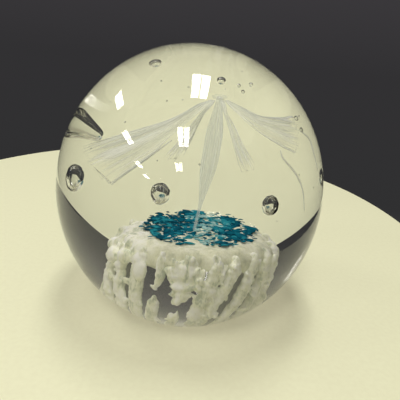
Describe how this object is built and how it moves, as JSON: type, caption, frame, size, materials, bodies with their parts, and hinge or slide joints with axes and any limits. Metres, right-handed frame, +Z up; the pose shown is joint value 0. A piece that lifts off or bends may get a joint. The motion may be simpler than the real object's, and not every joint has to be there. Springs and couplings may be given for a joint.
{
  "type": "glass paperweight",
  "caption": "Clear glass ball on a ground flat base, with a veil flower on a pulled stem, trapped bubbles, a teal frit bed and a white reef inside.",
  "frame": {"origin": "middle of the ball's outline on the plane that it stands on", "axes": "+Z up through the ball, +X to the right and +Y to the back as the flower is usually seen"},
  "size_m": [0.08, 0.085, 0.0776],
  "materials": {
    "clear_glass": "clear, faintly yellow-green, fire polished",
    "veil_glass": "thin translucent white film with fine drawn striations",
    "white_glass": "milky opal white, smooth",
    "teal_glass": "crushed frit, deep transparent teal"
  },
  "bodies": {
    "root": {"outer_casing": "clear_glass", "inner_gather": "clear_glass", "base_core": "clear_glass", "white_bed": "white_glass", "teal_chip_1": "teal_glass", "teal_chip_2": "teal_glass", "teal_chip_3": "teal_glass", "teal_chip_4": "teal_glass", "teal_chip_5": "teal_glass", "teal_chip_6": "teal_glass", "teal_chip_7": "teal_glass", "teal_chip_8": "teal_glass", "teal_chip_9": "teal_glass", "teal_chip_10": "teal_glass", "teal_chip_11": "teal_glass", "teal_chip_12": "teal_glass", "teal_chip_13": "teal_glass", "teal_chip_14": "teal_glass", "reef_column_1": "white_glass", "reef_column_2": "white_glass", "reef_column_3": "white_glass", "reef_drip_4": "white_glass", "reef_stub_4": "white_glass", "reef_drip_5": "white_glass", "reef_stub_5": "white_glass", "reef_column_6": "white_glass", "reef_column_7": "white_glass", "reef_column_8": "white_glass", "reef_column_9": "white_glass", "reef_column_10": "white_glass", "reef_column_11": "white_glass", "reef_column_12": "white_glass", "reef_column_17": "white_glass", "reef_column_18": "white_glass", "flower_heart": "veil_glass", "stem": "veil_glass", "veil_left": "veil_glass", "veil_front_left": "veil_glass", "veil_front_right": "veil_glass", "veil_right": "veil_glass", "thread_left": "white_glass", "thread_right": "white_glass", "thread_far_right": "white_glass"}
  },
  "joints": []
}
